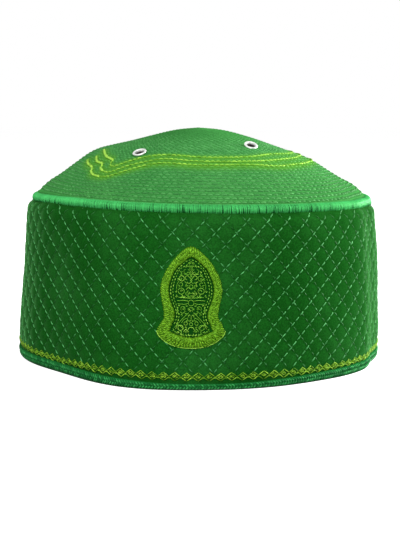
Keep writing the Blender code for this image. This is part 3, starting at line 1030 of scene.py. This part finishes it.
tape_wide = 2 * (TAPE + 0.3 * MM) + BAND_THICK
inner_leg = tape_wide - TAPE
section = np.array((
    (TAPE, TAPE_TALL - 0.2 * MM), (0.62 * TAPE, TAPE_TALL), (0.25 * TAPE, TAPE_TALL - 0.1 * MM),
    (0.0, TAPE_TALL - 0.6 * MM), (-0.06 * MM, 1.9 * MM), (0.0, 0.8 * MM), (0.2 * MM, 0.25 * MM),
    (0.7 * MM, 0.0), (tape_wide - 0.7 * MM, 0.0), (tape_wide - 0.2 * MM, 0.25 * MM),
    (tape_wide, 0.8 * MM), (tape_wide, TAPE_TALL - 0.6 * MM), (tape_wide - 0.25 * TAPE, TAPE_TALL),
    (inner_leg, TAPE_TALL - 0.2 * MM), (inner_leg, TAPE), (TAPE, TAPE),
))
binding = spun("binding_tape", np.array((ROUND, 0.0)) + section * (-1.0, 1.0), 360, 0.01 * MM)
laid_out = unroll(corners_of(binding))
mark_cloth(binding, laid_out[:, 0], laid_out[:, 2])
# Painted shade: the tape darkens towards its bottom, within 1.2 mm of the floor.
mark(binding, "painted_shade_and_dark_ground", np.clip(1.0 - laid_out[:, 2] / (1.2 * MM), 0.0, 1.0) * 0.9)
laid_out[:, 2] *= tape_stretch(laid_out[:, 0])
set_corners(binding, bend(laid_out))
put_on(binding, tape_weave, ["binding"])

# %% Knitted loops on the tape's face
LOOP = 1.35 * MM
loops = int(STRIP / LOOP)
at = (np.arange(loops) / loops - 0.5) * STRIP
rows = []
for bottom, top, lean in ((0.45, 1.75, 1.0), (1.65, 3.05, -1.0)):
    x = at[:, None] + lean * ALONG * 1.25 * MM + chance.normal(0.0, 0.06 * MM, (loops, 1))
    z = (bottom + (top - bottom) * (ALONG + 0.5)) * MM + chance.normal(0.0, 0.05 * MM, (loops, 1))
    y = np.array((0.15, -0.16, -0.16, 0.15)) * MM + 0 * x
    rows.append(np.stack([x, y, z * tape_stretch(x)], -1))
paths = np.concatenate(rows)
sew("binding_loops", SHORT, paths, (0.72, 0.5), tones(0.5, 0.28, len(paths)), tape_thread)

# %% [markdown]
# ## The row of little diamonds
# A lime border runs round the foot, just above the binding. Each repeat is a diamond with a small knot
# inside it, and its points touch the next one. Each side of a diamond is one thread, so the row is a list
# of short paths that repeats along the strip.

# %% Embroider the row
REPEATS = 119
pitch = STRIP / REPEATS
repeat = (
    ((-0.50, 0), (0, 0.50)), ((0, 0.50), (0.50, 0)),
    ((0.50, 0), (0, -0.50)), ((0, -0.50), (-0.50, 0)),
    ((-0.25, 0.02), (0, 0.24)), ((0, 0.24), (0.25, 0.02)),
    ((0.25, 0.02), (0, -0.18)), ((0, -0.18), (-0.25, 0.02)),
    ((-0.62, -0.12), (-0.38, -0.12)), ((-0.10, 0.04), (0.12, 0)),
)


def row_tall(along):
    """The row is a little lower at the sides, where the foot curves away."""
    return np.interp(np.abs(along) / MM, (55.0, 85.0), (3.8, 3.3)) * MM


paths = []
middle = ((np.arange(REPEATS) + 0.5) / REPEATS - 0.5)[:, None] * STRIP
for (x0, z0), (x1, z1) in repeat:
    wobble = chance.normal(0.0, 0.09 * MM, (2, REPEATS, 1))
    x = middle + (x0 + (x1 - x0) * (ALONG + 0.5)) * pitch + wobble[0]
    z = row_height(x) + (z0 + (z1 - z0) * (ALONG + 0.5)) * row_tall(x) + wobble[1]
    y = cloth_face(x, z) - np.array((0.0, 0.34, 0.34, 0.0)) * MM
    paths.append(np.stack([x, y, z], -1))
paths = np.concatenate(paths)
sew("foot_row", SHORT, paths, (0.46, 0.46), tones(0.5, 0.25, len(paths)), row_thread)

# %% [markdown]
# ## The badge
# The badge has a wide satin border in the outline of an arch on a flared heel. Inside it, thin lime lines
# on the dark cloth make a small garden of rings and scrolls. The border is a run of threads laid across,
# from its inner edge to its outer edge, and arched as if over a little padding. The two edges are tables
# of heights and half-widths, so the threads can be shared out evenly from the top round to the heel.

# %% Edges of the border
OUTER_EDGE = (
    (44.4, 0), (43.2, 2.7), (41, 5.2), (37.8, 8.2), (34.5, 10.4), (31.3, 12.2), (28.1, 13.1),
    (24.9, 13.5), (21.6, 13), (18.4, 12.4), (15.2, 11.8), (12.6, 12), (10.3, 13.5), (7.4, 14.9),
)
OUTER_HEEL = ((7.4, 14.9), (5.2, 13.8), (2.6, 10.7), (1, 7.2), (0.2, 3.6), (0, 0))
INNER_EDGE = (
    (39.7, 0), (38.9, 1.5), (37.8, 2.9), (34.5, 6.5), (31.3, 8.3), (28.1, 9.4), (24.9, 9.8),
    (21.6, 9.3), (18.4, 8.1), (15.2, 7.1), (12.6, 7.3), (10.3, 8.2), (7.4, 9.4),
)
INNER_HEEL = ((7.4, 9.4), (6, 6), (5.1, 3), (4.7, 0))


def even(table, count):
    """Evenly spaced points, (sideways, up), along a smooth line through a table of heights and widths."""
    up, aside = smooth_line(table, np.linspace(0, len(table) - 1, 400)).T * MM
    gone = gone_along(np.stack([aside, up], -1))
    at = (np.arange(count) + 0.5) / count * gone[-1]
    return np.stack([np.interp(at, gone, aside), np.interp(at, gone, up)], -1)


def all_round(edge, heel, counts):
    right = np.concatenate([even(edge, counts[0]), even(heel, counts[1])])
    return np.concatenate([right, right[::-1] * np.array((-1.0, 1.0))])


# %% Satin threads of the border
counts = (160, 46)
outside = all_round(OUTER_EDGE, OUTER_HEEL, counts)
inside = all_round(INNER_EDGE, INNER_HEEL, counts)


def on_badge(points, lift):
    """Badge points to flat strip points, lifted off the cloth."""
    x, z = points[..., 0] + BADGE_AT[0], points[..., 1] + BADGE_AT[1]
    return np.stack([x, tuck(z) - lift, z], -1)


def satin(first, last, arch, fray):
    """Paths from one edge to the other, over the padding, each in three stitches of chance lengths."""
    sweep = np.linspace(0.0, 1.0, 5)[None, :, None]
    jitter = chance.normal(0.0, fray, (2, len(first), 1))
    across = unit(last - first)
    first, last = first - across * jitter[0], last + across * jitter[1]
    cuts = np.sort(chance.uniform(0.15, 0.85, (len(first), 2)), axis=1)
    ends = np.column_stack([np.zeros(len(first)), cuts, np.ones(len(first))])
    paths = []
    for start, stop in zip(ends.T[:-1], ends.T[1:]):
        share = start[:, None] + (stop - start)[:, None] * sweep[..., 0]
        flat = first[:, None] * (1 - share[..., None]) + last[:, None] * share[..., None]
        lift = 0.2 * MM + arch * (1 - np.abs(2 * share - 1) ** 3.5)
        lift = lift - 0.3 * MM * np.abs(2 * sweep[..., 0] - 1) ** 3
        lift = lift + chance.normal(0.0, 0.06 * MM, share[:, :1].shape)
        paths.append(on_badge(flat, lift))
    return np.concatenate(paths)


paths = satin(inside, outside, 0.72 * MM, 0.13 * MM)
stripe = np.outer((0.12, 0.30, 0.40), np.cos(2 * math.pi * np.arange(len(outside)) / 3.5)).ravel()
tone = tones(0.52, 0.14, len(paths), stripe)
sew("badge_border_threads", SHORT, paths, (0.44, 0.46), tone, lime_thread, ["badge_border"])
# %% [markdown]
# ## The scrollwork inside the badge
# The inside is a free ornament of the usual kind: rings, leaves and scrolls, the same on both sides of a
# middle line. It carries no writing. Each line is one long thread along a curve, given for the right side
# and mirrored to the left. Little curls fill the ground that the larger figures leave free.

# %% Scrolls for the right half, mirrored
def ring_at(x, z, radius, start=0.0, sweep=360.0):
    turn = np.radians(np.linspace(start, start + sweep, 13))
    return np.stack([x + radius * np.cos(turn), z + radius * np.sin(turn)], -1)


def curve(*points):
    return smooth_line(points, np.linspace(0, len(points) - 1, 13))


middle_figures = [
    ring_at(0, 19.8, 1.25), ring_at(0, 26.9, 0.8), ring_at(0, 8, 1.3, 0, 180),
    ring_at(0, 16.3, 1.5, 20, 140), ring_at(0, 35.9, 1.6, 30, 120),
    curve((0, 33.6), (0, 34.8), (0, 36)), curve((0, 12.6), (0, 13.4), (0, 14.2)),
    curve((-1, 24.6), (0, 23.9), (1, 24.6)), ring_at(0, 10.6, 0.7),
    ring_at(0, 30.7, 0.55), ring_at(0, 29.5, 0.35), ring_at(0, 31.9, 0.35),
]
right_figures = [
    ring_at(4.3, 24.9, 1.35), ring_at(4.1, 30.4, 1.15), ring_at(3.5, 17.3, 0.95, -60, 300),
    ring_at(1.7, 30.7, 0.85, -90, 270), ring_at(4.5, 9, 1.15), ring_at(2.3, 10.9, 0.75),
    ring_at(2.3, 33.4, 0.9, 180, 260), ring_at(4.4, 27.8, 0.75, 30, 250),
    curve((0, 21.9), (2.5, 22), (5.5, 22.2)), curve((1.3, 20.6), (3.2, 20.9), (6.1, 20.7)),
    curve((1.4, 19.6), (3.2, 19.2), (5.9, 19.4)), curve((1, 15.6), (4, 12.6), (7.2, 9)),
    curve((1.1, 13.4), (3, 12.6), (4.2, 11)), curve((3.2, 8.6), (5.6, 10.3), (6.6, 8.4)),
    curve((2.6, 26.9), (2, 28.3), (2.9, 29)), curve((0, 28.9), (1, 28.2), (1.8, 28.9)),
    curve((0, 25.6), (1.3, 26.4), (2.2, 25.4)), curve((5.6, 17.9), (6, 16.3), (5.2, 14.6)),
    curve((1, 7.2), (2.3, 8.3), (3.2, 7.2)), curve((6.3, 25.5), (6.2, 27.5), (5.4, 29.2)),
    curve((0.4, 32.6), (1.4, 32), (3.4, 32.4)), curve((2.4, 16.2), (3.8, 15.3), (4.6, 16)),
]
taken = np.concatenate(middle_figures + right_figures)
edge, heel = np.array(INNER_EDGE), np.array(INNER_HEEL)
curls = []
for row in range(32):
    for column in range(8):
        x = 0.7 + 1.15 * column + 0.35 * (row % 2) + chance.uniform(-0.15, 0.15)
        z = 5.9 + 1.05 * row + chance.uniform(-0.15, 0.15)
        start, radius = chance.uniform(0.0, 360.0), chance.uniform(0.32, 0.45)
        free = np.linalg.norm(taken - (x, z), axis=1).min() > 0.6
        side = np.interp(z, heel[::-1, 0], heel[::-1, 1]) - 1.0
        if z > 8.2:
            side = np.interp(z, edge[::-1, 0], edge[::-1, 1]) - 2.8
        if free and x < side:
            curls.append(ring_at(x, z, radius, start, 250.0))
print(f"{len(curls)} curls on each side")
right_figures = right_figures + curls
figures = middle_figures + right_figures + [figure * (-1.0, 1.0) for figure in right_figures]
paths = on_badge(np.array(figures) * MM, 0.42 * MM)
tone = tones(0.26, 0.2, len(paths))
sew("badge_scrolls", LONG, paths, (0.32, 0.34), tone, pale_lime_thread)


# %% Dotted lines inside the border, and a fine cord along its heel
def stitches_along(table, count, long, aside=0.0):
    """Short stitches, one after another, on a line through a table of the right side."""
    right = even(table, count)
    ahead = unit(np.gradient(right, axis=0))
    right = right + aside * np.stack([ahead[:, 1], -ahead[:, 0]], -1)
    return right[:, None] + ahead[:, None] * (ALONG * long)[:, None]


dots = []
for inset in (0.9, 1.9):
    edge = [(z, max(x - inset, 0.0)) for z, x in INNER_EDGE if 8.0 < z < 39.5 - 1.7 * inset]
    edge = [(39.5 - 1.3 * inset, 0.0)] + [(z, x) for z, x in edge if x > 0.2]
    dots.append(stitches_along(edge, 22, 0.95 * MM))
cord = stitches_along(OUTER_HEEL, 34, 0.7 * MM, 0.12 * MM)
for name, right, lift, size, middle in (
    ("badge_dotted_lines", np.concatenate(dots), 0.40 * MM, (0.42, 0.36), 0.26),
    ("badge_heel_cord", cord, 0.34 * MM, (0.42, 0.40), 0.6),
):
    paths = on_badge(np.concatenate([right, right * (-1.0, 1.0)]), lift)
    sew(name, SHORT, paths, size, tones(middle, 0.2, len(paths)), pale_lime_thread)

# %% [markdown]
# ## The eyelets
# An eyelet is pressed from thin white metal: a rolled rim in front, a tube through the cloth and a flat
# washer behind. One profile, spun, gives all three. It is made once and set four times on the crown, each
# time facing the way the crown faces there.

# %% Metal
white_metal, tree, shader = new_look("white_metal")
scuffs = noise(tree, Scale=700.0, Detail=4.0)
tone = ramp_between(tree, scuffs, (0.58, 0.60, 0.57), (0.84, 0.85, 0.83), (0.35, 0.65))
# Painted shade: the metal turns dark brown-grey deep inside the eyelet's tube.
tone = mixed(tree, marked(tree, "painted_shade_and_dark_ground"), tone, (0.030, 0.026, 0.022))
tree.links.new(tone, shader.inputs["Base Color"])
dull = tune(node(tree, "ShaderNodeMapRange"), {"To Min": 0.25, "To Max": 0.45})
tree.links.new(scuffs, dull.inputs["Value"])
tree.links.new(dull.outputs["Result"], shader.inputs["Roughness"])
shader.inputs["Metallic"].default_value = 0.25

# %% Press one eyelet and set four
roll = np.radians(np.linspace(-60.0, 215.0, 10))
rim = np.stack([2.79 + 0.56 * np.cos(roll), 0.5 + 0.42 * np.sin(roll)], -1)
barrel = np.array((
    (2.12, -0.1), (2.07, -0.6), (2.05, -2.7), (2.3, -2.8),
    (3.2, -2.75), (3.2, -2.4), (2.2, -2.38), (2.2, 0.22),
))
pressed = np.concatenate([rim, barrel]) * MM
for name, azimuth, share, tip in EYELETS:
    eyelet = spun(name + "_metal", pressed, 36, 0.01 * MM)
    points = corners_of(eyelet)
    # Painted shade: the inside of the tube, more than 0.75 mm down, is marked to be painted dark.
    deep = np.clip(0.75 - points[:, 2] / MM, 0.0, 1.0) * (np.hypot(points[:, 0], points[:, 1]) < 2.25 * MM)
    mark(eyelet, "painted_shade_and_dark_ground", deep)
    turn, part = np.array([math.radians(azimuth)]), np.array([share])
    here, out = on_crown(turn, part)[0], crown_facing(turn, part)[0]
    outward = np.array((0.0, math.copysign(1.0, math.sin(turn[0])), 0.0))
    out = unit(out + math.tan(math.radians(tip)) * outward)
    aside = unit(np.cross((0.0, 0.0, 1.0), out))
    axes = np.stack([aside, np.cross(out, aside), out])
    set_corners(eyelet, points @ axes + here + 0.25 * MM * out)
    put_on(eyelet, white_metal, [name])

# %% [markdown]
# ## Floor, light and camera
# The photograph shows the cap on plain white, from the front and a little above, in soft light from
# overhead and from the right. A wide pale floor, a large soft lamp above and in front, a strong one low
# at the right, a weak one at the left and a bright even surround give that. The camera's place comes from
# the curves of the foot and of the rim.

# %% Floor
deselect()
bpy.ops.mesh.primitive_plane_add(size=12.0, location=(0, 0, -0.2 * MM))
floor = bpy.context.object
floor.name = "floor"
paper, _, shader = new_look("white_paper")
tune(shader, {
    "Base Color": (0.9, 0.9, 0.9, 1.0), "Roughness": 0.9, "Specular IOR Level": 0.0,
    "Emission Color": (1.0, 1.0, 1.0, 1.0), "Emission Strength": 0.72,
})
floor.data.materials.append(paper)
floor.visible_diffuse = False
floor.visible_glossy = False


# %% Lamps and surround
AIM = (0.0, 0.0, 0.06)


def softbox(name, place, size, power):
    lamp = bpy.data.lights.new(name, "AREA")
    lamp.shape = "RECTANGLE"
    lamp.size, lamp.size_y = size
    lamp.energy = power
    box = bpy.data.objects.new(name, lamp)
    bpy.context.scene.collection.objects.link(box)
    box.location = place
    away = unit(np.array(AIM) - np.array(place))
    box.rotation_euler = (math.acos(-away[2]), 0.0, math.atan2(away[1], away[0]) - math.pi / 2)


softbox("overhead", (0.12, -1.10, 0.68), (0.6, 0.45), 17.6)
softbox("right_side", (0.97, 0.30, 0.26), (0.5, 0.7), 26.0)
softbox("left_side", (-0.95, -0.55, 0.55), (0.5, 0.7), 6.0)
world = bpy.data.worlds.new("surround")
bpy.context.scene.world = world
world.use_nodes = True
tree = world.node_tree
seen = tune(tree.nodes["Background"], {"Strength": 1.0, "Color": (1, 1, 1, 1)})
fill = node(tree, "ShaderNodeBackground", Strength=0.38)
by_ray = node(tree, "ShaderNodeMixShader")
tree.links.new(node(tree, "ShaderNodeLightPath").outputs["Is Camera Ray"], by_ray.inputs["Fac"])
tree.links.new(fill.outputs["Background"], by_ray.inputs[1])
tree.links.new(seen.outputs["Background"], by_ray.inputs[2])
tree.links.new(by_ray.outputs["Shader"], tree.nodes["World Output"].inputs["Surface"])
bpy.context.scene.view_settings.view_transform = "Standard"

# %% Camera
CAMERA_AT = (0.0008, -0.660, 0.123)
LEVEL = 0.0425  # height of the point it looks at
camera = bpy.data.objects.new("camera", bpy.data.cameras.new("camera"))
bpy.context.scene.collection.objects.link(camera)
camera.data.lens = 88.9
camera.data.sensor_width = 36.0
camera.location = CAMERA_AT
camera.rotation_euler = (math.pi / 2 - math.atan2(CAMERA_AT[2] - LEVEL, -CAMERA_AT[1]), 0.0, 0.0)
bpy.context.scene.camera = camera
